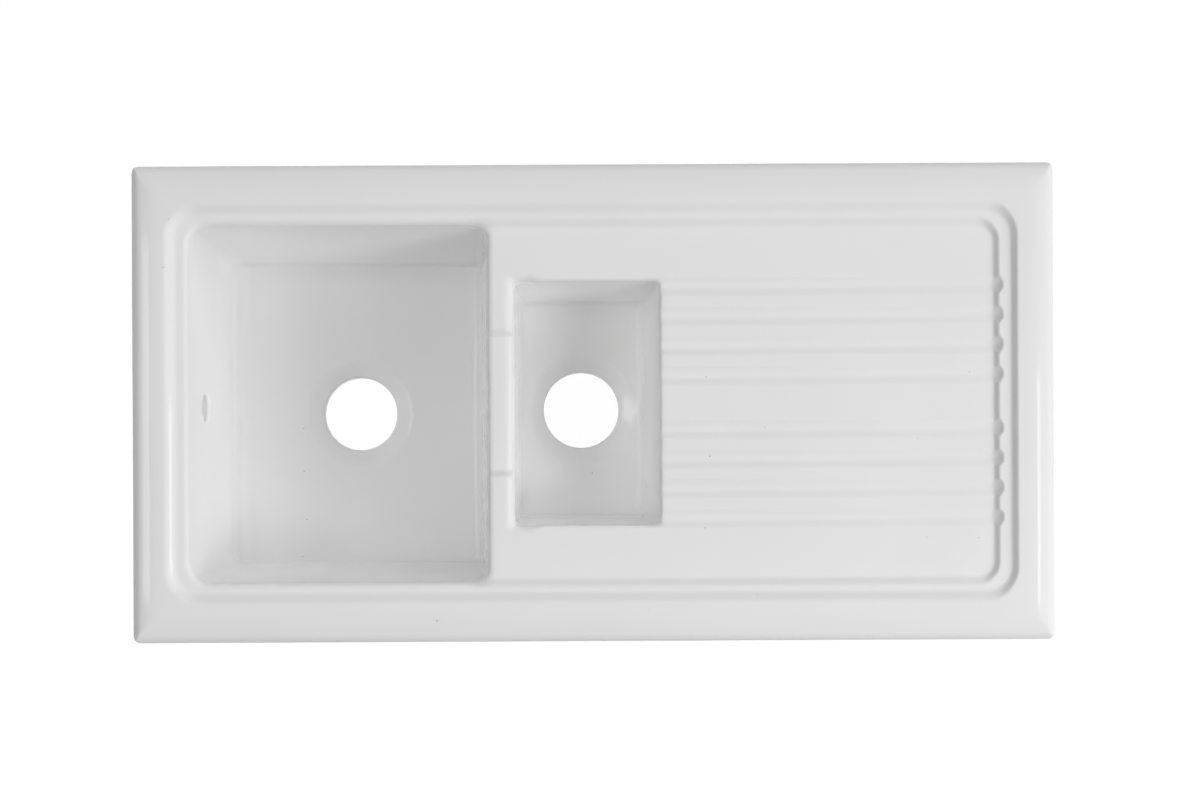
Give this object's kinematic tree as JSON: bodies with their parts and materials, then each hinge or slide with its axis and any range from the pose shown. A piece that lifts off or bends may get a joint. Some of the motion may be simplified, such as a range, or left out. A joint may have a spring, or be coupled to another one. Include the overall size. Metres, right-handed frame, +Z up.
{
  "type": "kitchen sink with drainboard",
  "caption": "Inset white glazed ceramic sink with a large and a half bowl, stepped rim and grooved drainer, with seal strips and underside clamps.",
  "frame": {"origin": "centre of the sink's plan, on the plane of the worktop's top face", "axes": "+X to the drainer end, +Y to the wall behind, +Z up"},
  "size_m": [1.01, 0.523, 0.223],
  "materials": {
    "glaze": "glossy white glaze over fireclay",
    "foam": "dark grey closed-cell foam strip",
    "nylon": "natural nylon",
    "zinc": "bright zinc plated steel"
  },
  "bodies": {
    "sink": {"sink_body": "glaze", "rim_seal_front": "foam", "rim_seal_back": "foam", "rim_seal_left": "foam", "rim_seal_right": "foam", "anchor_plug_back_left": "nylon", "anchor_plug_back_middle": "nylon", "anchor_plug_back_right": "nylon", "anchor_plug_front_left": "nylon", "anchor_plug_front_middle": "nylon", "anchor_plug_front_right": "nylon", "anchor_plug_end_left": "nylon", "anchor_plug_end_right": "nylon"},
    "washer_back_left": {"clip_washer_back_left": "zinc"},
    "arm_back_left": {"clamp_arm_back_left": "zinc"},
    "screw_back_left": {"fixing_screw_back_left": "zinc"},
    "washer_back_middle": {"clip_washer_back_middle": "zinc"},
    "arm_back_middle": {"clamp_arm_back_middle": "zinc"},
    "screw_back_middle": {"fixing_screw_back_middle": "zinc"},
    "washer_back_right": {"clip_washer_back_right": "zinc"},
    "arm_back_right": {"clamp_arm_back_right": "zinc"},
    "screw_back_right": {"fixing_screw_back_right": "zinc"},
    "washer_front_left": {"clip_washer_front_left": "zinc"},
    "arm_front_left": {"clamp_arm_front_left": "zinc"},
    "screw_front_left": {"fixing_screw_front_left": "zinc"},
    "washer_front_middle": {"clip_washer_front_middle": "zinc"},
    "arm_front_middle": {"clamp_arm_front_middle": "zinc"},
    "screw_front_middle": {"fixing_screw_front_middle": "zinc"},
    "washer_front_right": {"clip_washer_front_right": "zinc"},
    "arm_front_right": {"clamp_arm_front_right": "zinc"},
    "screw_front_right": {"fixing_screw_front_right": "zinc"},
    "washer_end_left": {"clip_washer_end_left": "zinc"},
    "arm_end_left": {"clamp_arm_end_left": "zinc"},
    "screw_end_left": {"fixing_screw_end_left": "zinc"},
    "washer_end_right": {"clip_washer_end_right": "zinc"},
    "arm_end_right": {"clamp_arm_end_right": "zinc"},
    "screw_end_right": {"fixing_screw_end_right": "zinc"}
  },
  "joints": [
    {"name": "lift_back_left", "type": "slide", "parent": "sink", "child": "washer_back_left", "axis": [0, 0, 1], "range_m": [0, 0.0105]},
    {"name": "turn_back_left", "type": "hinge", "parent": "washer_back_left", "child": "screw_back_left", "pos_m": [-0.33, 0.2255, -0.0525], "axis": [0, 0, 1], "range_deg": [0, 2100]},
    {"name": "swing_back_left", "type": "hinge", "parent": "washer_back_left", "child": "arm_back_left", "pos_m": [-0.33, 0.2255, -0.0525], "axis": [0, 0, 1], "range_deg": [0, 90]},
    {"name": "lift_back_middle", "type": "slide", "parent": "sink", "child": "washer_back_middle", "axis": [0, 0, 1], "range_m": [0, 0.0105]},
    {"name": "turn_back_middle", "type": "hinge", "parent": "washer_back_middle", "child": "screw_back_middle", "pos_m": [0.04, 0.2255, -0.0525], "axis": [0, 0, 1], "range_deg": [0, 2100]},
    {"name": "swing_back_middle", "type": "hinge", "parent": "washer_back_middle", "child": "arm_back_middle", "pos_m": [0.04, 0.2255, -0.0525], "axis": [0, 0, 1], "range_deg": [0, 90]},
    {"name": "lift_back_right", "type": "slide", "parent": "sink", "child": "washer_back_right", "axis": [0, 0, 1], "range_m": [0, 0.0105]},
    {"name": "turn_back_right", "type": "hinge", "parent": "washer_back_right", "child": "screw_back_right", "pos_m": [0.38, 0.2255, -0.0525], "axis": [0, 0, 1], "range_deg": [0, 2100]},
    {"name": "swing_back_right", "type": "hinge", "parent": "washer_back_right", "child": "arm_back_right", "pos_m": [0.38, 0.2255, -0.0525], "axis": [0, 0, 1], "range_deg": [0, 90]},
    {"name": "lift_front_left", "type": "slide", "parent": "sink", "child": "washer_front_left", "axis": [0, 0, 1], "range_m": [0, 0.0105]},
    {"name": "turn_front_left", "type": "hinge", "parent": "washer_front_left", "child": "screw_front_left", "pos_m": [-0.33, -0.2255, -0.0525], "axis": [0, 0, 1], "range_deg": [0, 2100]},
    {"name": "swing_front_left", "type": "hinge", "parent": "washer_front_left", "child": "arm_front_left", "pos_m": [-0.33, -0.2255, -0.0525], "axis": [0, 0, 1], "range_deg": [0, 90]},
    {"name": "lift_front_middle", "type": "slide", "parent": "sink", "child": "washer_front_middle", "axis": [0, 0, 1], "range_m": [0, 0.0105]},
    {"name": "turn_front_middle", "type": "hinge", "parent": "washer_front_middle", "child": "screw_front_middle", "pos_m": [0.04, -0.2255, -0.0525], "axis": [0, 0, 1], "range_deg": [0, 2100]},
    {"name": "swing_front_middle", "type": "hinge", "parent": "washer_front_middle", "child": "arm_front_middle", "pos_m": [0.04, -0.2255, -0.0525], "axis": [0, 0, 1], "range_deg": [0, 90]},
    {"name": "lift_front_right", "type": "slide", "parent": "sink", "child": "washer_front_right", "axis": [0, 0, 1], "range_m": [0, 0.0105]},
    {"name": "turn_front_right", "type": "hinge", "parent": "washer_front_right", "child": "screw_front_right", "pos_m": [0.38, -0.2255, -0.0525], "axis": [0, 0, 1], "range_deg": [0, 2100]},
    {"name": "swing_front_right", "type": "hinge", "parent": "washer_front_right", "child": "arm_front_right", "pos_m": [0.38, -0.2255, -0.0525], "axis": [0, 0, 1], "range_deg": [0, 90]},
    {"name": "lift_end_left", "type": "slide", "parent": "sink", "child": "washer_end_left", "axis": [0, 0, 1], "range_m": [0, 0.0105]},
    {"name": "turn_end_left", "type": "hinge", "parent": "washer_end_left", "child": "screw_end_left", "pos_m": [-0.469, 0.095, -0.0525], "axis": [0, 0, 1], "range_deg": [0, 2100]},
    {"name": "swing_end_left", "type": "hinge", "parent": "washer_end_left", "child": "arm_end_left", "pos_m": [-0.469, 0.095, -0.0525], "axis": [0, 0, 1], "range_deg": [0, 90]},
    {"name": "lift_end_right", "type": "slide", "parent": "sink", "child": "washer_end_right", "axis": [0, 0, 1], "range_m": [0, 0.0105]},
    {"name": "turn_end_right", "type": "hinge", "parent": "washer_end_right", "child": "screw_end_right", "pos_m": [0.469, 0, -0.0525], "axis": [0, 0, 1], "range_deg": [0, 2100]},
    {"name": "swing_end_right", "type": "hinge", "parent": "washer_end_right", "child": "arm_end_right", "pos_m": [0.469, 0, -0.0525], "axis": [0, 0, 1], "range_deg": [0, 90]}
  ],
  "couplings": [
    {"joint": "turn_back_left", "follows": "lift_back_left", "rad_per_m": 3490.6},
    {"joint": "turn_back_middle", "follows": "lift_back_middle", "rad_per_m": 3490.6},
    {"joint": "turn_back_right", "follows": "lift_back_right", "rad_per_m": 3490.6},
    {"joint": "turn_front_left", "follows": "lift_front_left", "rad_per_m": 3490.6},
    {"joint": "turn_front_middle", "follows": "lift_front_middle", "rad_per_m": 3490.6},
    {"joint": "turn_front_right", "follows": "lift_front_right", "rad_per_m": 3490.6},
    {"joint": "turn_end_left", "follows": "lift_end_left", "rad_per_m": 3490.6},
    {"joint": "turn_end_right", "follows": "lift_end_right", "rad_per_m": 3490.6}
  ]
}
